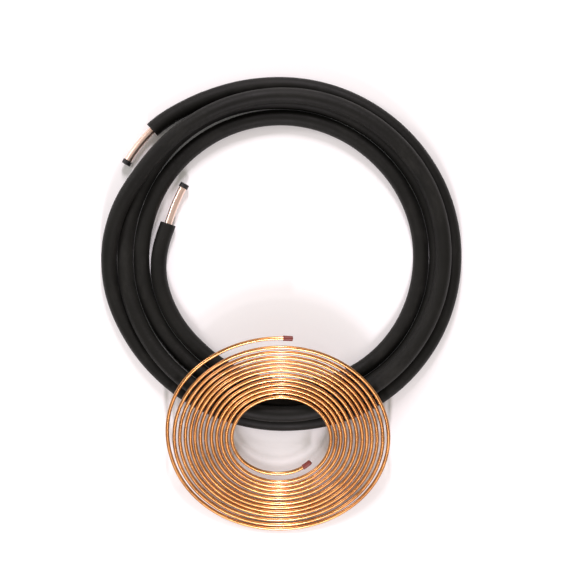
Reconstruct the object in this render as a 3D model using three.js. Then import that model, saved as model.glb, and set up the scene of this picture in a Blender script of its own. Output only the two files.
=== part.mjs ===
// Mini split line set: a foam-insulated suction line wound in four turns, and a bare copper
// liquid line wound as a flat oval coil that leans on it. Millimetres, +Z up. The origin is on
// the floor, at the middle of the two coils' outline.
import * as THREE from "three";

// Suction line, 3/4 inch soft copper in closed-cell foam
const suctionOd = 19.05;
const suctionWall = 1.07;
const foamWall = 9.5;
const foamBoreGap = 0.4;
const foamTurnGap = 1.3;
const foamEyeRadius = 304;
const foamStart = 165.7;
const foamEnd = 1577;
const suctionBareLength = 108;

// Liquid line, 3/8 inch soft copper, bare
const liquidOd = 9.525;
const liquidWall = 0.81;
const liquidTurnGap = 2.05;
const liquidEyeHalfHeight = 101.6;
const liquidOvalStretch = 1.129;
const liquidStart = 317;
const liquidSweep = 4553;
const liquidTailIn = 10.3;
const liquidTailOut = 12.2;
const liquidOverhang = 250;
const liquidShiftX = -10.4;

// End caps
const suctionCapLength = 12;
const suctionCapWall = 1.6;
const liquidCapLength = 24;
const liquidCapWall = 1.2;
const capGap = 0.3;

// Clearance where one coil rests on the other, and of the leaning coil to the floor
const restGap = 0.6;
const floorGap = 0.1;

// Facets of the tubes: sides of a section, and degrees of turn between two sections
const foamSides = 12;
const pipeSides = 8;
const capSides = 16;
const stepAngle = 15;
const shortestEndStep = 8;

const foamOd = suctionOd + 2 * (foamBoreGap + foamWall);
const foamPitch = foamOd + foamTurnGap;
const liquidPitch = liquidOd + liquidTurnGap;

// Route of the insulated line. Each row is the angle wound from +X, the distance of the tube's
// middle from the edge of the eye, and the height it is lifted off the floor, both in pitches.
// The first turns lie on the floor side by side, the third climbs on top of the second, and the
// last comes down beside it.
const foamRoute = [
  [140, 0.1, 0], [153, -0.02, 0], [165.7, -0.03, 0], [174, 0.14, 0], [183, 0.34, 0],
  [192, 0.46, 0], [210, 0.5, 0], [230, 0.51, 0], [270, 0.86, 0], [306, 1.19, 0],
  [360, 1.04, 0], [410, 0.86, 0], [450, 0.98, 0], [490, 1.16, 0], [510, 1.27, 0],
  [525, 1.33, 0], [550, 1.47, 0], [570, 1.52, 0], [590, 1.54, 0], [630, 1.88, 0],
  [666, 2.21, 0], [720, 2.06, 0], [770, 1.89, 0], [810, 2.0, 0], [830, 2.18, 0],
  [850, 2.3, 0], [870, 2.3, 0], [885, 2.36, 0.08], [898, 2.4, 0.24], [912, 2.46, 0.36],
  [925, 2.48, 0.53], [950, 2.52, 0.78], [990, 2.49, 0.84], [1026, 2.4, 1.02],
  [1080, 2.36, 1.0], [1130, 2.24, 0.98], [1170, 2.22, 1.02], [1190, 2.27, 1.04],
  [1210, 2.38, 1.04], [1230, 2.62, 1.0], [1245, 3.06, 0.86], [1258, 3.36, 0.54],
  [1272, 3.48, 0.12], [1287, 3.38, 0], [1310, 3.22, 0], [1350, 3.13, 0], [1386, 3.24, 0],
  [1440, 3.1, 0], [1490, 2.94, 0], [1530, 3.03, 0], [1550, 3.22, 0], [1562, 3.44, 0],
  [1577, 3.8, 0], [1600, 3.9, 0],
];

function routeColumn(column) {
  const angles = new Float32Array(foamRoute.map((row) => row[0]));
  const values = new Float32Array(foamRoute.map((row) => row[column]));
  return new THREE.CubicInterpolant(angles, values, 1);
}

const foamOffset = routeColumn(1);
const foamLift = routeColumn(2);

function foamPoint(angle) {
  const radius = foamEyeRadius + foamPitch * foamOffset.evaluate(angle)[0];
  const height = foamOd / 2 + foamPitch * Math.max(0, foamLift.evaluate(angle)[0]);
  const turn = THREE.MathUtils.degToRad(angle);
  return new THREE.Vector3(radius * Math.cos(turn), radius * Math.sin(turn), height);
}

// The liquid coil winds outward against the other one, in the flat of its own group. The turns
// bunch and spread a little, and both ends swing clear of the turn beside them.
function liquidPoint(wound) {
  const turns = wound / 360;
  const bunching = 0.5 * liquidTurnGap * Math.sin((2 * Math.PI * turns) / 5.3);
  const tailIn = liquidTailIn * (1 - THREE.MathUtils.smoothstep(wound, 40, 140));
  const tailOut = liquidTailOut * THREE.MathUtils.smoothstep(wound, liquidSweep - 115, liquidSweep - 50);
  const halfHeight = liquidEyeHalfHeight + liquidPitch * turns + bunching - tailIn + tailOut;
  const turn = THREE.MathUtils.degToRad(liquidStart - wound);
  const halfWidth = liquidOvalStretch * halfHeight;
  return new THREE.Vector3(halfWidth * Math.cos(turn), halfHeight * Math.sin(turn), 0);
}

// A route through sections at given angles. Neighbouring turns have their sections at the same
// angles, and every section stands upright on the route.
class CoilCurve extends THREE.Curve {
  constructor(pointAt, stations) {
    super();
    this.pointAt = pointAt;
    this.stations = stations;
  }

  getPoint(t, target = new THREE.Vector3()) {
    const last = this.stations.length - 1;
    const place = THREE.MathUtils.clamp(t, 0, 1) * last;
    const index = Math.min(Math.floor(place), last - 1);
    const angle = THREE.MathUtils.lerp(this.stations[index], this.stations[index + 1], place - index);
    return target.copy(this.pointAt(angle));
  }

  getUtoTmapping(u) {
    return u;
  }

  // Direction of the straight stretch at one end, pointing away from the route.
  endDirection(end) {
    const inner = end === 0 ? this.stations.at(1) : this.stations.at(-2);
    const outer = end === 0 ? this.stations.at(0) : this.stations.at(-1);
    return this.pointAt(outer).sub(this.pointAt(inner)).normalize();
  }

  computeFrenetFrames(segments) {
    const frames = { tangents: [], normals: [], binormals: [] };
    for (let i = 0; i <= segments; i++) {
      let tangent = this.getTangentAt(i / segments);
      if (i === 0) tangent = this.endDirection(0).negate();
      if (i === segments) tangent = this.endDirection(1);
      const binormal = new THREE.Vector3(0, 0, -1).cross(tangent).negate().normalize();
      const normal = new THREE.Vector3().crossVectors(binormal, tangent);
      frames.tangents.push(tangent);
      frames.normals.push(normal);
      frames.binormals.push(binormal);
    }
    return frames;
  }
}

// Section angles between two ends of a route: both ends, and each whole step well between them.
function stationsBetween(first, last, origin = 0) {
  const stations = [first];
  for (let angle = origin; angle < last - shortestEndStep; angle += stepAngle) {
    if (angle > first + shortestEndStep) stations.push(angle);
  }
  stations.push(last);
  return stations;
}

// Corners of a polygon whose flats touch a circle of this diameter, one flat facing up.
function polygon(diameter, sides) {
  const corner = diameter / 2 / Math.cos(Math.PI / sides);
  const points = [];
  for (let i = 0; i < sides; i++) {
    const turn = ((i + 0.5) * 2 * Math.PI) / sides;
    points.push(new THREE.Vector2(corner * Math.cos(turn), corner * Math.sin(turn)));
  }
  return points;
}

function tube(curve, outerDiameter, outerSides, boreDiameter) {
  const section = new THREE.Shape(polygon(outerDiameter, outerSides));
  section.holes.push(new THREE.Path(polygon(boreDiameter, pipeSides)));
  return new THREE.ExtrudeGeometry(section, {
    steps: curve.stations.length - 1,
    curveSegments: 1,
    extrudePath: curve,
  });
}

// A cup over a pipe end: its closed end is at +Y of its own axis, just past the pipe's face.
function endCap(pipeOd, length, wall) {
  const pipeCorner = pipeOd / 2 / Math.cos(Math.PI / pipeSides);
  const bore = (pipeCorner + capGap) / Math.cos(Math.PI / capSides);
  const profile = [
    new THREE.Vector2(0, capGap),
    new THREE.Vector2(bore, capGap),
    new THREE.Vector2(bore, capGap + wall - length),
    new THREE.Vector2(bore + wall, capGap + wall - length),
    new THREE.Vector2(bore + wall, capGap + wall),
    new THREE.Vector2(0, capGap + wall),
  ];
  return new THREE.LatheGeometry(profile, capSides);
}

function named(name, geometry, material) {
  const mesh = new THREE.Mesh(geometry, material);
  mesh.name = name;
  return mesh;
}

// Sets a cap on the end of a route, facing away from the rest of the pipe.
function seat(mesh, curve, end) {
  mesh.position.copy(curve.getPointAt(end));
  mesh.quaternion.setFromUnitVectors(new THREE.Vector3(0, 1, 0), curve.endDirection(end));
  return mesh;
}

// Angle that a bare end of the suction line reaches, past the foam's end.
function bareEnd(foamAngle, direction) {
  const radius = foamEyeRadius + foamPitch * foamOffset.evaluate(foamAngle)[0];
  return foamAngle + direction * THREE.MathUtils.radToDeg(suctionBareLength / radius);
}

const foamMaterial = new THREE.MeshStandardMaterial({ color: 0x1c1c1b, roughness: 0.75, metalness: 0 });
const copperMaterial = new THREE.MeshStandardMaterial({ color: 0xd08c5a, roughness: 0.3, metalness: 1 });
const blackCapMaterial = new THREE.MeshStandardMaterial({ color: 0x0f0f10, roughness: 0.5, metalness: 0 });
const redCapMaterial = new THREE.MeshStandardMaterial({ color: 0x7c2f24, roughness: 0.5, metalness: 0 });

function suctionGroup() {
  const foamStations = stationsBetween(foamStart, foamEnd);
  const tipIn = bareEnd(foamStart, -1);
  const tipOut = bareEnd(foamEnd, 1);
  const pipeStations = [
    tipIn, (tipIn + foamStart) / 2, ...foamStations, (tipOut + foamEnd) / 2, tipOut,
  ];
  const foamCurve = new CoilCurve(foamPoint, foamStations);
  const pipeCurve = new CoilCurve(foamPoint, pipeStations);
  const group = new THREE.Group();
  const foamBore = suctionOd + 2 * foamBoreGap;
  const pipeBore = suctionOd - 2 * suctionWall;
  group.add(named("foam_insulation", tube(foamCurve, foamOd, foamSides, foamBore), foamMaterial));
  group.add(named("suction_line", tube(pipeCurve, suctionOd, pipeSides, pipeBore), copperMaterial));
  const cap = endCap(suctionOd, suctionCapLength, suctionCapWall);
  group.add(seat(named("suction_cap_inner", cap, blackCapMaterial), pipeCurve, 0));
  group.add(seat(named("suction_cap_outer", cap, blackCapMaterial), pipeCurve, 1));
  return group;
}

// The lowest place of the liquid coil, where its last turn passes the front.
function liquidFront() {
  let front = 0;
  for (let wound = liquidSweep - 360; wound <= liquidSweep; wound += 1) {
    front = Math.min(front, liquidPoint(wound).y);
  }
  return front;
}

// Lean of the liquid coil: its front edge is on the floor, and the turns beside its eye rest on
// the raised turn of the insulated coil.
function liquidLean(frontY, frontHeight) {
  const foamCorner = foamOd / 2 / Math.cos(Math.PI / foamSides);
  const reach = foamCorner + liquidOd / 2 + restGap;
  const eyeHalfWidth = liquidOvalStretch * liquidEyeHalfHeight;
  let lean = 0;
  for (let angle = 930; angle <= 1050; angle += 1) {
    const touch = foamPoint(angle);
    if (Math.abs(touch.x - liquidShiftX) < eyeHalfWidth) continue;
    const forward = touch.y - frontY;
    const up = touch.z - frontHeight;
    lean = Math.max(lean, Math.atan2(up, forward) + Math.asin(reach / Math.hypot(forward, up)));
  }
  return lean;
}

function liquidGroup() {
  const curve = new CoilCurve(liquidPoint, stationsBetween(0, liquidSweep, liquidStart % stepAngle));
  const group = new THREE.Group();
  const bore = liquidOd - 2 * liquidWall;
  group.add(named("liquid_line", tube(curve, liquidOd, pipeSides, bore), copperMaterial));
  const cap = endCap(liquidOd, liquidCapLength, liquidCapWall);
  group.add(seat(named("liquid_cap_inner", cap, redCapMaterial), curve, 0));
  group.add(seat(named("liquid_cap_outer", cap, redCapMaterial), curve, 1));

  const frontHeight = liquidOd / 2 / Math.cos(Math.PI / pipeSides) + floorGap;
  const frontY = foamPoint(1350).y - foamOd / 2 - liquidOverhang;
  const lean = liquidLean(frontY, frontHeight);
  const depth = -liquidFront();
  group.rotation.x = lean;
  group.position.set(liquidShiftX, frontY + depth * Math.cos(lean), frontHeight + depth * Math.sin(lean));
  return group;
}

// Both coils are modelled about the insulated coil's middle, and then moved to stand over the origin.
const lineSet = new THREE.Group();
lineSet.add(suctionGroup());
lineSet.add(liquidGroup());
lineSet.updateMatrixWorld(true);
const middle = new THREE.Box3().setFromObject(lineSet, true).getCenter(new THREE.Vector3());
lineSet.position.set(-middle.x, -middle.y, 0);

export default lineSet;
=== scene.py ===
# Mini split line set: an insulated suction line in a ring and a bare copper liquid line leaning on it.
import math

import bpy
import numpy as np
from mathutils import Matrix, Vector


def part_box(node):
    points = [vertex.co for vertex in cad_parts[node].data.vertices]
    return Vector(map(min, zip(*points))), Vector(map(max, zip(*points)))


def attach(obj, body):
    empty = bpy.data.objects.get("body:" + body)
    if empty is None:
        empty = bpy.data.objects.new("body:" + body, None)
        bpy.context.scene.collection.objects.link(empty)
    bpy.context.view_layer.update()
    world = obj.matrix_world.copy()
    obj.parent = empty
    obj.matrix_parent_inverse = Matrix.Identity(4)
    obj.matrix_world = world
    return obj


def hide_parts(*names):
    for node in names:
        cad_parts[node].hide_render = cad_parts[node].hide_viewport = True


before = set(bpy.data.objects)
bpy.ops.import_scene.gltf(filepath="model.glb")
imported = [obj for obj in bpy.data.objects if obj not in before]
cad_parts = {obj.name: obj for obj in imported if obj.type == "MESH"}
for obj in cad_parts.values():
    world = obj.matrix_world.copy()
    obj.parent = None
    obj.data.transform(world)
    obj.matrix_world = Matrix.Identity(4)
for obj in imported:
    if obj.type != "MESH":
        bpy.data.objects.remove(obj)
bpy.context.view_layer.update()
print("frame loaded:", ", ".join(sorted(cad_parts)))

# Sizes of the two lines in metres and degrees, as in the frame. A dent or wave is how far the surface
# strays, and the length after it is how slowly. The bore has a row for every so many of the outside.
suction = {
    "od": 0.01905,
    "wall": 0.00107,
    "bare": 0.108,
    "rowsPerTurn": 220,
    "boreEvery": 2,
    "around": 32,
    "dent": 0.00004,
    "dentLength": 0.11,
    "lip": 0.0003,
}
foam = {
    "wall": 0.0095,
    "boreGap": 0.0004,
    "turnGap": 0.0013,
    "eyeRadius": 0.304,
    "start": 165.7,
    "end": 1577.0,
    "rowsPerTurn": 370,
    "boreEvery": 3,
    "around": 44,
    "swell": 0.0006,
    "wave": 0.00011,
    "waveLength": 0.17,
    "lip": 0.0011,
}
liquid = {
    "od": 0.009525,
    "wall": 0.00081,
    "turnGap": 0.00205,
    "eyeHalfHeight": 0.1016,
    "ovalStretch": 1.129,
    "start": 317.0,
    "sweep": 4553.0,
    "bunch": 0.5,
    "bunchTurns": 5.3,
    "tailIn": 0.0103,
    "tailInFrom": 40,
    "tailInTo": 140,
    "tailOut": 0.0122,
    "tailOutBeforeEnd": 115,
    "tailOutFullBeforeEnd": 50,
    "lean": 13.93,
    "rowsPerTurn": 100,
    "boreEvery": 2,
    "around": 24,
    "dent": 0.00006,
    "dentLength": 0.09,
    "lip": 0.0002,
    "wander": 0.00018,
    "wanderWaves": ((1.37, 0.6), (2.43, 2.2)),
}
foam["od"] = suction["od"] + 2 * (foam["boreGap"] + foam["wall"])
foam["pitch"] = foam["od"] + foam["turnGap"]
liquid["pitch"] = liquid["od"] + liquid["turnGap"]

# The foam's route: angle wound from +X, offset from the eye and lift off the floor, both in pitches.
foamRoute = np.array([
    [140, 0.1, 0], [153, -0.02, 0], [165.7, -0.03, 0], [174, 0.14, 0], [183, 0.34, 0],
    [192, 0.46, 0], [210, 0.5, 0], [230, 0.51, 0], [270, 0.86, 0], [306, 1.19, 0],
    [360, 1.04, 0], [410, 0.86, 0], [450, 0.98, 0], [490, 1.16, 0], [510, 1.27, 0],
    [525, 1.33, 0], [550, 1.47, 0], [570, 1.52, 0], [590, 1.54, 0], [630, 1.88, 0],
    [666, 2.21, 0], [720, 2.06, 0], [770, 1.89, 0], [810, 2.0, 0], [830, 2.18, 0],
    [850, 2.3, 0], [870, 2.3, 0], [885, 2.36, 0.08], [898, 2.4, 0.24], [912, 2.46, 0.36],
    [925, 2.48, 0.53], [950, 2.52, 0.78], [990, 2.49, 0.84], [1026, 2.4, 1.02],
    [1080, 2.36, 1.0], [1130, 2.24, 0.98], [1170, 2.22, 1.02], [1190, 2.27, 1.04],
    [1210, 2.38, 1.04], [1230, 2.62, 1.0], [1245, 3.06, 0.86], [1258, 3.36, 0.54],
    [1272, 3.48, 0.12], [1287, 3.38, 0], [1310, 3.22, 0], [1350, 3.13, 0], [1386, 3.24, 0],
    [1440, 3.1, 0], [1490, 2.94, 0], [1530, 3.03, 0], [1550, 3.22, 0], [1562, 3.44, 0],
    [1577, 3.8, 0], [1600, 3.9, 0],
])


# Smooth curve through one column of the route. Between two rows it is the cubic that passes through
# both and leaves each with the slope between that row's own neighbours.
def routeValue(column, angle):
    t, v = foamRoute[:, 0], foamRoute[:, column]
    i = np.clip(np.searchsorted(t, angle, side="right"), 1, len(t) - 1)
    before, after = np.maximum(i - 2, 0), np.minimum(i + 1, len(t) - 1)
    slopeIn = (v[i] - v[before]) / (t[i] - t[before])
    slopeOut = (v[after] - v[i - 1]) / (t[after] - t[i - 1])
    width = t[i] - t[i - 1]
    p = (angle - t[i - 1]) / width
    leaving = (2 * p**3 - 3 * p**2 + 1) * v[i - 1] + (p**3 - 2 * p**2 + p) * width * slopeIn
    return leaving + (3 * p**2 - 2 * p**3) * v[i] + (p**3 - p**2) * width * slopeOut


# Middle of the insulated line at a wound angle: radius = eye + pitch x offset, height = half the
# foam + pitch x lift.
def foamPoint(angle):
    radius = foam["eyeRadius"] + foam["pitch"] * routeValue(1, angle)
    height = foam["od"] / 2 + foam["pitch"] * np.maximum(routeValue(2, angle), 0)
    turn = np.radians(angle)
    return np.stack([radius * np.cos(turn), radius * np.sin(turn), height], axis=-1)


# 0 below low, 1 above high, and between them 3p^2 - 2p^3 for p, the share of the way.
def smoothStep(value, low, high):
    p = np.clip((value - low) / (high - low), 0, 1)
    return p * p * (3 - 2 * p)


# Middle of the liquid line in its own flat, an oval spiral: half height = eye + pitch x turns, with
# turns that bunch and wander a little and two loose ends, and half width = stretch x half height.
def liquidPoint(wound):
    turns = wound / 360
    bunching = liquid["bunch"] * liquid["turnGap"] * np.sin(2 * np.pi * turns / liquid["bunchTurns"])
    tailIn = liquid["tailIn"] * (1 - smoothStep(wound, liquid["tailInFrom"], liquid["tailInTo"]))
    loose = liquid["sweep"] - liquid["tailOutBeforeEnd"]
    looseFull = liquid["sweep"] - liquid["tailOutFullBeforeEnd"]
    tailOut = liquid["tailOut"] * smoothStep(wound, loose, looseFull)
    wander = sum(np.sin(2 * np.pi * turns * waves + start) for waves, start in liquid["wanderWaves"])
    halfHeight = liquid["eyeHalfHeight"] + liquid["pitch"] * turns + bunching - tailIn + tailOut
    halfHeight += liquid["wander"] * wander
    turn = np.radians(liquid["start"] - wound)
    across = liquid["ovalStretch"] * halfHeight * np.cos(turn)
    return np.stack([across, halfHeight * np.sin(turn), np.zeros_like(wound)], axis=-1)


# How far a route has to move for the middle of its box to be the middle of its node's box.
def shiftToNode(points, node):
    low, high = (np.array(corner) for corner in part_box(node))
    return (low + high) / 2 - (points.min(axis=0) + points.max(axis=0)) / 2


# Unit directions along, beside and above each point of a route. The last is the one nearest upward.
def routeFrames(points, upward):
    tangent = np.gradient(points, axis=0)
    tangent /= np.linalg.norm(tangent, axis=1, keepdims=True)
    side = np.cross(tangent, upward)
    side /= np.linalg.norm(side, axis=1, keepdims=True)
    return tangent, side, np.cross(side, tangent)


# Distance run along a route at each of its points.
def distanceAlong(points):
    return np.concatenate([[0], np.cumsum(np.linalg.norm(np.diff(points, axis=0), axis=1))])


# Skin from a grid of rings: each row is a closed ring, and each joins the next. A looped skin joins
# its last ring to its first, and one that isn't looped has a face over both its end rings. place is
# what the materials read as skinPlace: across, across and along the pipe. cutEnd is 1 on cut rings.
def skinFromRings(name, rings, place, looped, cutEnd=None):
    rows, around = rings.shape[:2]
    index = np.arange(rows * around).reshape(rows, around)
    here = index if looped else index[:-1]
    there = np.roll(index, -1, axis=0) if looped else index[1:]
    quads = np.stack([here, np.roll(here, -1, axis=1), np.roll(there, -1, axis=1), there], axis=-1)
    faces = quads.reshape(-1, 4).tolist()
    if not looped:
        faces += [index[0, ::-1].tolist(), index[-1].tolist()]
    mesh = bpy.data.meshes.new(name)
    mesh.from_pydata(rings.reshape(-1, 3).tolist(), [], faces)
    mesh.shade_smooth()
    skinPlace = mesh.attributes.new("skinPlace", "FLOAT_VECTOR", "POINT")
    skinPlace.data.foreach_set("vector", place.astype(np.float32).ravel())
    if cutEnd is not None:
        cut = mesh.attributes.new("cutEnd", "FLOAT", "POINT")
        cut.data.foreach_set("value", np.repeat(cutEnd, around).astype(np.float32))
    mesh.update()
    piece = bpy.data.objects.new(name, mesh)
    bpy.context.scene.collection.objects.link(piece)
    return piece


# A rounded rim is a quarter of a circle: how far each of its points has come across and how far it
# is still behind the end face, both as shares of the rim's radius.
rimPoints = 6
rimTurn = np.linspace(0, np.pi / 2, rimPoints)
rimOut, rimBehind = 1 - np.cos(rimTurn), 1 - np.sin(rimTurn)


# A hollow tube as one closed skin. Its rows run up the bore, over the last face, back down the
# outside and over the first face. Every ring is middle + radius x (cos turn x side + sin turn x up).
# outside is a grid of radii, one row for each point of the route, and bore is one radius.
def hollowTube(name, points, upward, bore, boreEvery, rim, outside):
    tangent, side, upper = routeFrames(points, upward)
    along = distanceAlong(points)
    last, around = len(points) - 1, outside.shape[1]
    turn = np.linspace(0, 2 * np.pi, around, endpoint=False)
    boreRows = np.arange(boreEvery, last - 1, boreEvery)
    outerRows = np.arange(last - 1, 0, -1)
    inner = np.full(around, bore)
    atEnd = np.full(rimPoints, last)
    atStart = np.zeros(rimPoints, int)
    row = np.concatenate([boreRows, atEnd, atEnd, outerRows, atStart, atStart])
    push = np.concatenate([
        0.0 * boreRows, -rim * rimBehind, -rim * rimOut,
        0.0 * outerRows, rim * rimOut[::-1], rim * rimBehind[::-1],
    ])
    radius = np.concatenate([
        np.tile(inner, (len(boreRows), 1)),
        inner + rim * rimOut[:, None], outside[last] - rim * rimBehind[:, None],
        outside[outerRows],
        outside[0] - rim * rimBehind[::-1, None], inner + rim * rimOut[::-1, None],
    ])
    middle = points[row] + tangent[row] * push[:, None]
    cosine, sine = np.cos(turn)[None, :, None], np.sin(turn)[None, :, None]
    spoke = cosine * side[row][:, None, :] + sine * upper[row][:, None, :]
    rings = middle[:, None, :] + radius[..., None] * spoke
    run = np.broadcast_to((along[row] + push)[:, None], radius.shape)
    place = np.stack([radius * np.cos(turn), radius * np.sin(turn), run], axis=-1)
    faceRow = (row == 0) | (row == last)
    return skinFromRings(name, rings, place, True, faceRow.astype(float))


# Slow unevenness of a long tube: four waves that run along it and round it at odd lengths, so that
# they never come back in step. Each has a strength, and the sum is divided by all four strengths.
def slowWaves(along, turn, length):
    one = np.sin(2 * np.pi * along / length + 1.3 * np.sin(turn + 0.4))
    two = np.sin(2 * np.pi * along / (1.63 * length) + 2 * turn + 0.9)
    three = np.sin(2 * np.pi * along / (0.57 * length) - turn + 2.1)
    four = np.sin(2 * np.pi * along / (0.29 * length) + 3 * turn + 4.0)
    return (one + two + 0.7 * three + 0.4 * four) / 3.1


def newMaterial(name):
    material = bpy.data.materials.new(name)
    material.use_nodes = True
    nodes = material.node_tree.nodes
    return material, nodes, material.node_tree.links, nodes["Principled BSDF"]


def readAttribute(nodes, attribute):
    node = nodes.new("ShaderNodeAttribute")
    node.attribute_name = attribute
    return node


# Noise on a set of coordinates. A larger scale or stretch makes it finer, stretch along each axis.
def noiseOn(nodes, links, coordinates, scale, detail, roughness, stretch=(1, 1, 1), offset=(0, 0, 0)):
    mapping = nodes.new("ShaderNodeMapping")
    mapping.inputs["Scale"].default_value = stretch
    mapping.inputs["Location"].default_value = offset
    links.new(coordinates, mapping.inputs["Vector"])
    noise = nodes.new("ShaderNodeTexNoise")
    noise.inputs["Scale"].default_value = scale
    noise.inputs["Detail"].default_value = detail
    noise.inputs["Roughness"].default_value = roughness
    links.new(mapping.outputs["Vector"], noise.inputs["Vector"])
    return noise.outputs["Fac"]


# Turns a value's range low..high into start..stop, held at the ends.
def rangeOf(nodes, links, value, low, high, start, stop):
    node = nodes.new("ShaderNodeMapRange")
    for socket, number in (("From Min", low), ("From Max", high), ("To Min", start), ("To Max", stop)):
        node.inputs[socket].default_value = number
    links.new(value, node.inputs["Value"])
    return node.outputs["Result"]


# The Mix node names its colour sockets like those of its other types, so they go by number.
mixSockets = {"first": 6, "second": 7, "result": 2}


# Two colours mixed by a share. Each is a colour or another node's output.
def mixColours(nodes, links, share, first, second):
    node = nodes.new("ShaderNodeMix")
    node.data_type = "RGBA"
    links.new(share, node.inputs["Factor"])
    for which, colour in (("first", first), ("second", second)):
        socket = node.inputs[mixSockets[which]]
        if isinstance(colour, tuple):
            socket.default_value = (*colour, 1)
        else:
            links.new(colour, socket)
    return node.outputs[mixSockets["result"]]


# Relief from a height, laid over the relief that came before it.
def bumpFrom(nodes, links, height, distance, strength, before=None):
    node = nodes.new("ShaderNodeBump")
    node.inputs["Distance"].default_value = distance
    node.inputs["Strength"].default_value = strength
    links.new(height, node.inputs["Height"])
    if before is not None:
        links.new(before, node.inputs["Normal"])
    return node.outputs["Normal"]


# Closed-cell foam: near black, an extruded skin with faint lines along it, small cells, wrinkles
# across and dusty rubs, and paler on its cut ends. In this and the next materials a noise is scale,
# detail, roughness and stretch, a range is low and high to low and high, and a bump is distance and
# strength.
foamLook = {
    "dark": (0.0036, 0.0036, 0.0029),
    "pale": (0.0078, 0.0077, 0.0062),
    "dust": (0.024, 0.0235, 0.02),
    "cut": (0.017, 0.0165, 0.0155),
    "cellSize": 0.0009,
    "specular": 0.2,
    "sheen": 0.02,
    "sheenRoughness": 0.5,
    "blotchNoise": (9, 4, 0.6),
    "rubNoise": (26, 6, 0.68, (1, 1, 0.35)),
    "lineNoise": (420, 3, 0.6, (1, 1, 0.012)),
    "fineNoise": (1500, 2, 0.5),
    "wrinkleNoise": (34, 3, 0.55, (0.55, 0.55, 2.2)),
    "paleRange": (0.3, 0.7, 0, 1),
    "dustRange": (0.53, 0.76, 0, 0.6),
    "roughRange": (0.3, 0.75, 0.44, 0.66),
    "wrinkleBump": (0.0018, 0.6),
    "lineBump": (0.0003, 0.45),
    "cellBump": (0.00018, 0.6),
    "fineBump": (0.00014, 0.6),
}


def foamMaterial():
    material, nodes, links, shader = newMaterial("closedCellFoam")
    here = nodes.new("ShaderNodeTexCoord").outputs["Object"]
    skin = readAttribute(nodes, "skinPlace").outputs["Vector"]
    cut = readAttribute(nodes, "cutEnd").outputs["Fac"]
    blotch = noiseOn(nodes, links, here, *foamLook["blotchNoise"])
    rub = noiseOn(nodes, links, skin, *foamLook["rubNoise"])
    lines = noiseOn(nodes, links, skin, *foamLook["lineNoise"])
    cells = nodes.new("ShaderNodeTexVoronoi")
    cells.inputs["Scale"].default_value = 1 / foamLook["cellSize"]
    links.new(here, cells.inputs["Vector"])
    fine = noiseOn(nodes, links, here, *foamLook["fineNoise"])
    wrinkle = noiseOn(nodes, links, skin, *foamLook["wrinkleNoise"])

    paleShare = rangeOf(nodes, links, blotch, *foamLook["paleRange"])
    tone = mixColours(nodes, links, paleShare, foamLook["dark"], foamLook["pale"])
    dustShare = rangeOf(nodes, links, rub, *foamLook["dustRange"])
    dusty = mixColours(nodes, links, dustShare, tone, foamLook["dust"])
    links.new(mixColours(nodes, links, cut, dusty, foamLook["cut"]), shader.inputs["Base Color"])
    links.new(rangeOf(nodes, links, rub, *foamLook["roughRange"]), shader.inputs["Roughness"])
    shader.inputs["Specular IOR Level"].default_value = foamLook["specular"]
    shader.inputs["Sheen Weight"].default_value = foamLook["sheen"]
    shader.inputs["Sheen Roughness"].default_value = foamLook["sheenRoughness"]
    shape = bumpFrom(nodes, links, wrinkle, *foamLook["wrinkleBump"])
    shape = bumpFrom(nodes, links, lines, *foamLook["lineBump"], shape)
    shape = bumpFrom(nodes, links, cells.outputs["Distance"], *foamLook["cellBump"], shape)
    links.new(bumpFrom(nodes, links, fine, *foamLook["fineBump"], shape), shader.inputs["Normal"])
    return material


# Soft drawn copper: bright, with drawing lines along it, dull patches from handling and small marks,
# under a thin film of drawing oil. stainShift moves one noise away from the others.
copperSurface = {
    "oilFilm": 0.85,
    "oilRoughness": 0.12,
    "blotchNoise": (11, 5, 0.62),
    "handledNoise": (38, 6, 0.66, (1, 1, 0.3)),
    "lineNoise": (1900, 3, 0.6, (1, 1, 0.006)),
    "stainNoise": (120, 4, 0.6, (1, 1, 0.5)),
    "stainShift": (3, 1, 7),
    "deepRange": (0.34, 0.68, 0, 1),
    "stainRange": (0.6, 0.78, 0, 0.5),
    "handledRange": (0.3, 0.72),
    "lineBump": (0.00008, 0.5),
    "stainBump": (0.00025, 0.12),
    "handledBump": (0.0008, 0.2),
}

# The thin coil's base is a deeper orange than real copper, a painted shade, and the pipe's base below is
# paler, a painted highlight.
shadedCoilCopper = {
    "bright": (0.62, 0.285, 0.085),
    "deep": (0.39, 0.155, 0.038),
    "stain": (0.19, 0.07, 0.025),
    "smooth": 0.21,
    "dull": 0.38,
}
# Paler pink than real copper: a painted highlight standing in for the light on the pipe's bare ends.
highlitPipeCopper = {
    "bright": (0.97, 0.76, 0.66),
    "deep": (0.93, 0.64, 0.52),
    "stain": (0.6, 0.34, 0.24),
    "smooth": 0.26,
    "dull": 0.42,
}


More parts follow.
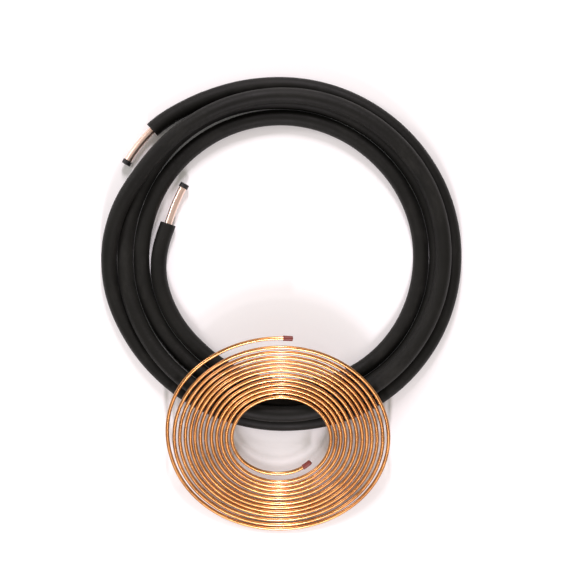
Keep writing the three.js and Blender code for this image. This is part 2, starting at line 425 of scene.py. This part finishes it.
def copperMaterial(name, copperLook):
    material, nodes, links, shader = newMaterial(name)
    here = nodes.new("ShaderNodeTexCoord").outputs["Object"]
    skin = readAttribute(nodes, "skinPlace").outputs["Vector"]
    blotch = noiseOn(nodes, links, here, *copperSurface["blotchNoise"])
    handled = noiseOn(nodes, links, skin, *copperSurface["handledNoise"])
    lines = noiseOn(nodes, links, skin, *copperSurface["lineNoise"])
    stains = noiseOn(nodes, links, skin, *copperSurface["stainNoise"], copperSurface["stainShift"])
    deepShare = rangeOf(nodes, links, blotch, *copperSurface["deepRange"])
    tone = mixColours(nodes, links, deepShare, copperLook["bright"], copperLook["deep"])
    stainShare = rangeOf(nodes, links, stains, *copperSurface["stainRange"])
    marked = mixColours(nodes, links, stainShare, tone, copperLook["stain"])
    links.new(marked, shader.inputs["Base Color"])
    shader.inputs["Metallic"].default_value = 1
    shader.inputs["Coat Weight"].default_value = copperSurface["oilFilm"]
    shader.inputs["Coat Roughness"].default_value = copperSurface["oilRoughness"]
    dulled = (*copperSurface["handledRange"], copperLook["smooth"], copperLook["dull"])
    links.new(rangeOf(nodes, links, handled, *dulled), shader.inputs["Roughness"])
    shape = bumpFrom(nodes, links, lines, *copperSurface["lineBump"])
    shape = bumpFrom(nodes, links, stains, *copperSurface["stainBump"], shape)
    links.new(bumpFrom(nodes, links, handled, *copperSurface["handledBump"], shape), shader.inputs["Normal"])
    return material


# Soft moulded vinyl for the end caps: a slight pebble and rub marks.
vinylSurface = {
    "rubNoise": (210, 5, 0.65, (1, 1, 0.6)),
    "pebbleNoise": (2600, 2, 0.5),
    "rubbedRange": (0.42, 0.72, 0, 1),
    "roughRange": (0.3, 0.7),
    "rougher": 0.2,
    "pebbleBump": (0.00012, 0.3),
}


def vinylMaterial(name, colour, rubbed, roughness):
    material, nodes, links, shader = newMaterial(name)
    skin = readAttribute(nodes, "skinPlace").outputs["Vector"]
    rub = noiseOn(nodes, links, skin, *vinylSurface["rubNoise"])
    pebble = noiseOn(nodes, links, skin, *vinylSurface["pebbleNoise"])
    rubbedShare = rangeOf(nodes, links, rub, *vinylSurface["rubbedRange"])
    links.new(mixColours(nodes, links, rubbedShare, colour, rubbed), shader.inputs["Base Color"])
    dulled = (*vinylSurface["roughRange"], roughness, roughness + vinylSurface["rougher"])
    links.new(rangeOf(nodes, links, rub, *dulled), shader.inputs["Roughness"])
    links.new(bumpFrom(nodes, links, pebble, *vinylSurface["pebbleBump"]), shader.inputs["Normal"])
    return material


coilSkin = copperMaterial("paintedShadeCoilCopper", shadedCoilCopper)
pipeSkin = copperMaterial("paintedHighlightPipeCopper", highlitPipeCopper)
foamSkin = foamMaterial()
blackVinyl = vinylMaterial(
    "blackVinyl", colour=(0.004, 0.004, 0.0045), rubbed=(0.013, 0.013, 0.014), roughness=0.36
)
redVinyl = vinylMaterial("redVinyl", colour=(0.17, 0.02, 0.012), rubbed=(0.24, 0.045, 0.03), roughness=0.34)


# Gives a piece its material and its body, and hides the nodes it stands for. The record's slot is not used.
def dress(piece, material, slot, *nodes):
    piece.data.materials.append(material)
    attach(piece, "root")
    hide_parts(*nodes)
    return piece


upright = np.array([0.0, 0.0, 1.0])


# Middle of the insulated line from one wound angle to another, with so many rows a turn.
def suctionRoute(start, end, rowsPerTurn):
    rows = int(round((end - start) * rowsPerTurn / 360)) + 1
    return foamPoint(np.linspace(start, end, rows))


sleeveMiddle = suctionRoute(foam["start"], foam["end"], foam["rowsPerTurn"])
ringShift = shiftToNode(sleeveMiddle, "foam_insulation") * [1, 1, 0]


# The wound angle reached by a bare end of the pipe, which goes on along the route past the foam.
def bareEndAngle(foamAngle, direction):
    radius = foam["eyeRadius"] + foam["pitch"] * routeValue(1, np.array([foamAngle]))[0]
    return foamAngle + direction * math.degrees(suction["bare"] / radius)


# The soft sleeve rests with a narrow flat on the floor: no point lies lower than z = 0.
def flattenOnFloor(piece):
    places = np.empty(len(piece.data.vertices) * 3, np.float32)
    piece.data.vertices.foreach_get("co", places)
    places[2::3] = np.maximum(places[2::3], 0)
    piece.data.vertices.foreach_set("co", places)
    piece.data.update()


def makeSleeve():
    middle = sleeveMiddle + ringShift
    along = distanceAlong(middle)[:, None]
    turn = np.linspace(0, 2 * np.pi, foam["around"], endpoint=False)[None, :]
    outside = foam["od"] / 2 + foam["swell"] + foam["wave"] * slowWaves(along, turn, foam["waveLength"])
    bore = suction["od"] / 2 + foam["boreGap"]
    piece = hollowTube("foamSleeve", middle, upright, bore, foam["boreEvery"], foam["lip"], outside)
    flattenOnFloor(piece)
    return dress(piece, foamSkin, "foam", "foam_insulation")


pipeMiddle = suctionRoute(
    bareEndAngle(foam["start"], -1), bareEndAngle(foam["end"], 1), suction["rowsPerTurn"]
) + ringShift


def makeSuctionTube():
    turn = np.linspace(0, 2 * np.pi, suction["around"], endpoint=False)[None, :]
    along = distanceAlong(pipeMiddle)[:, None]
    outside = suction["od"] / 2 + suction["dent"] * slowWaves(along, turn, suction["dentLength"])
    bore = suction["od"] / 2 - suction["wall"]
    every, lip = suction["boreEvery"], suction["lip"]
    piece = hollowTube("suctionTube", pipeMiddle, upright, bore, every, lip, outside)
    return dress(piece, pipeSkin, "copper", "suction_line")


sleeve = makeSleeve()
suctionTube = makeSuctionTube()
print("insulated line:", len(sleeve.data.polygons), "+", len(suctionTube.data.polygons), "faces")

lean = math.radians(liquid["lean"])
coilUp = np.array([0.0, -math.sin(lean), math.cos(lean)])


# The flat spiral tipped about X by the lean, then put where its node is.
def liquidRoute():
    rows = int(round(liquid["sweep"] * liquid["rowsPerTurn"] / 360)) + 1
    flat = liquidPoint(np.linspace(0, liquid["sweep"], rows))
    tipped = np.stack([flat[:, 0], flat[:, 1] * math.cos(lean), flat[:, 1] * math.sin(lean)], axis=-1)
    return tipped + shiftToNode(tipped, "liquid_line")


coilMiddle = liquidRoute()


def makeLiquidTube():
    turn = np.linspace(0, 2 * np.pi, liquid["around"], endpoint=False)[None, :]
    along = distanceAlong(coilMiddle)[:, None]
    outside = liquid["od"] / 2 + liquid["dent"] * slowWaves(along, turn, liquid["dentLength"])
    bore = liquid["od"] / 2 - liquid["wall"]
    every, lip = liquid["boreEvery"], liquid["lip"]
    piece = hollowTube("liquidTube", coilMiddle, coilUp, bore, every, lip, outside)
    return dress(piece, coilSkin, "copper", "liquid_line")


liquidTube = makeLiquidTube()
print("copper coil:", len(liquidTube.data.polygons), "faces")

# The two sizes of end cap, and the outline that they share: the nub as shares of its radius and
# height, the mouth as steps from the bore and from the mouth, and the seat as steps from the bore and
# places past the pipe's end. The inside face is given as shares of the bore.
suctionCap = {
    "bore": 0.00965, "wall": 0.0021, "length": 0.012, "end": 0.0019, "edge": 0.0016,
    "bead": 0.0007, "beadLength": 0.0024, "dome": 0.0003, "nub": 0.0014, "nubHeight": 0.0004,
    "around": 64,
}
liquidCap = {
    "bore": 0.0049, "wall": 0.0015, "length": 0.024, "end": 0.0015, "edge": 0.0013,
    "bead": 0.0005, "beadLength": 0.0026, "dome": 0.0003, "nub": 0.0009, "nubHeight": 0.0003,
    "around": 48,
}
capShape = {
    "nub": ((0.15, 1), (0.8, 1), (1, 0.6), (1.15, 0)),
    "taper": 0.0001,
    "sidePastBead": 0.75,
    "mouth": ((0.0006, 0), (0.0002, 0.0002), (0, 0.0007)),
    "seat": ((0, 0.0009), (-0.0004, 0.0004)),
    "insideFace": (0.6, 0.1),
    "insidePast": 0.0003,
    "edgePoints": 7,
    "facePoints": 6,
    "beadPoints": 11,
}


# Half outline of a cap as radius and distance past the pipe's end, from the middle of its closed
# face out over the rounded edge, down the side, round the rolled rim and back up the bore.
def capOutline(cap):
    outer, tip, edge = cap["bore"] + cap["wall"], cap["end"], cap["edge"]
    mouth = tip - cap["length"]
    quarter = np.linspace(0, np.pi / 2, capShape["edgePoints"])
    shares = np.linspace(0, 1, capShape["facePoints"])[1:]
    nub = [(cap["nub"] * across, tip + cap["nubHeight"] * up) for across, up in capShape["nub"]]
    nubFoot, faceEdge = nub[-1][0], outer - edge
    face = [(nubFoot + (faceEdge - nubFoot) * s, tip - cap["dome"] * s * s) for s in shares]
    shoulderTop = tip - cap["dome"]
    shoulder = [
        (outer - edge * (1 - math.sin(q)), shoulderTop - edge * (1 - math.cos(q))) for q in quarter[1:]
    ]
    sideTop = shoulderTop - edge
    beadMiddle = mouth + cap["beadLength"] / 2
    sideFoot = beadMiddle + cap["beadLength"] * capShape["sidePastBead"]
    side = [(outer + capShape["taper"] * s, sideTop + (sideFoot - sideTop) * s) for s in shares]
    sweep = np.linspace(0.5 * np.pi, -0.5 * np.pi, capShape["beadPoints"])
    bead = [
        (outer + cap["bead"] * math.cos(a), beadMiddle + cap["beadLength"] / 2 * math.sin(a))
        for a in sweep
    ]
    mouthEdge = [(cap["bore"] + out, mouth + up) for out, up in capShape["mouth"]]
    seat = [(cap["bore"] + out, past) for out, past in capShape["seat"]]
    inside = [(share * cap["bore"], capShape["insidePast"]) for share in capShape["insideFace"]]
    return np.array(nub + face + shoulder + side + bead + mouthEdge + seat + inside)


# Values of a route, a row for each point, read at some distances along it.
def readAlong(values, along, distances):
    return np.stack([np.interp(distances, along, values[:, axis]) for axis in range(3)], axis=-1)


# The outline turned round the pipe's middle: ring = middle + radius x spoke. The soft cap bends with
# the pipe that it sits on, and runs straight on past the pipe's end.
def makeCap(name, cap, middle, upward, outer, material, slot, node):
    toEnd = middle if outer else middle[::-1]
    tangent, side, upper = routeFrames(toEnd, upward)
    along = distanceAlong(toEnd)
    radius, past = capOutline(cap).T
    reach = along[-1] + np.minimum(past, 0)
    ringMiddle = readAlong(toEnd, along, reach) + np.maximum(past, 0)[:, None] * tangent[-1]
    ringSide = readAlong(side, along, reach)[:, None, :]
    ringUpper = readAlong(upper, along, reach)[:, None, :]
    turn = np.linspace(0, 2 * np.pi, cap["around"], endpoint=False)
    spoke = np.cos(turn)[None, :, None] * ringSide + np.sin(turn)[None, :, None] * ringUpper
    rings = ringMiddle[:, None, :] + radius[:, None, None] * spoke
    across = radius[:, None]
    run = np.broadcast_to(past[:, None], (len(past), len(turn)))
    place = np.stack([across * np.cos(turn), across * np.sin(turn), run], axis=-1)
    return dress(skinFromRings(name, rings, place, False), material, slot, node)


blackDress = (blackVinyl, "black_cap")
redDress = (redVinyl, "red_cap")
makeCap("innerBlackCap", suctionCap, pipeMiddle, upright, False, *blackDress, "suction_cap_inner")
makeCap("outerBlackCap", suctionCap, pipeMiddle, upright, True, *blackDress, "suction_cap_outer")
makeCap("innerRedCap", liquidCap, coilMiddle, coilUp, False, *redDress, "liquid_cap_inner")
makeCap("outerRedCap", liquidCap, coilMiddle, coilUp, True, *redDress, "liquid_cap_outer")
print("caps on all four ends")

# A wide sheet of pale paper under an even sky, with three soft boxes.
studio = {
    "floorSize": 80.0,
    "floorColour": (0.95, 0.95, 0.95),
    "floorRoughness": 0.9,
    "floorGlow": 0.04,
    "air": (1.0, 0.94, 0.86),
    "airStrength": 0.5,
}
softBoxes = {
    "backBox": {"place": (0.0, 2.9, 2.4), "size": (0.34, 1.4), "watts": 84, "colour": (1, 0.91, 0.98)},
    "frontBox": {"place": (0.0, -3.0, 2.4), "size": (0.34, 1.4), "watts": 84, "colour": (1, 0.91, 0.98)},
    "leftBox": {"place": (-2.6, 1.4, 1.7), "size": (0.7, 0.7), "watts": 22, "colour": (1, 0.97, 1)},
}


def makeFloor():
    half = studio["floorSize"] / 2
    mesh = bpy.data.meshes.new("studioFloor")
    corners = [(-half, -half, 0), (half, -half, 0), (half, half, 0), (-half, half, 0)]
    mesh.from_pydata(corners, [], [(0, 1, 2, 3)])
    floor = bpy.data.objects.new("studioFloor", mesh)
    bpy.context.scene.collection.objects.link(floor)
    material, _, _, shader = newMaterial("palePaper")
    shader.inputs["Base Color"].default_value = (*studio["floorColour"], 1)
    shader.inputs["Roughness"].default_value = studio["floorRoughness"]
    shader.inputs["Emission Color"].default_value = (1, 1, 1, 1)
    shader.inputs["Emission Strength"].default_value = studio["floorGlow"]
    mesh.materials.append(material)


# A soft box at a place, turned to face the middle of the set.
def softLight(name, place, size, watts, colour):
    lamp = bpy.data.lights.new(name, "AREA")
    lamp.shape, lamp.size, lamp.size_y = "RECTANGLE", size[0], size[1]
    lamp.energy, lamp.color = watts, colour
    light = bpy.data.objects.new(name, lamp)
    light.location = place
    toMiddle = -np.array(place)
    reach = np.linalg.norm(toMiddle)
    light.rotation_euler = (
        math.acos(-toMiddle[2] / reach), 0, math.atan2(toMiddle[1], toMiddle[0]) - math.pi / 2,
    )
    bpy.context.scene.collection.objects.link(light)


makeFloor()
for boxName, box in softBoxes.items():
    softLight(boxName, **box)

world = bpy.data.worlds.new("studioAir")
world.use_nodes = True
world.node_tree.nodes["Background"].inputs["Color"].default_value = (*studio["air"], 1)
world.node_tree.nodes["Background"].inputs["Strength"].default_value = studio["airStrength"]
scene = bpy.context.scene
scene.world = world
scene.view_settings.view_transform = "Standard"

# The camera looks straight down, and frameWidth is what it sees at the height planeHeight.
lens = {"focal": 85.0, "sensor": 36.0, "aim": (0.0121, 0.0453), "frameWidth": 1.441, "planeHeight": 0.04}
cameraData = bpy.data.cameras.new("camera")
cameraData.lens, cameraData.sensor_width = lens["focal"], lens["sensor"]
camera = bpy.data.objects.new("camera", cameraData)
cameraHeight = lens["planeHeight"] + lens["frameWidth"] * lens["focal"] / lens["sensor"]
camera.location = (*lens["aim"], cameraHeight)
scene.collection.objects.link(camera)
scene.camera = camera
print("floor, lights and camera in place")
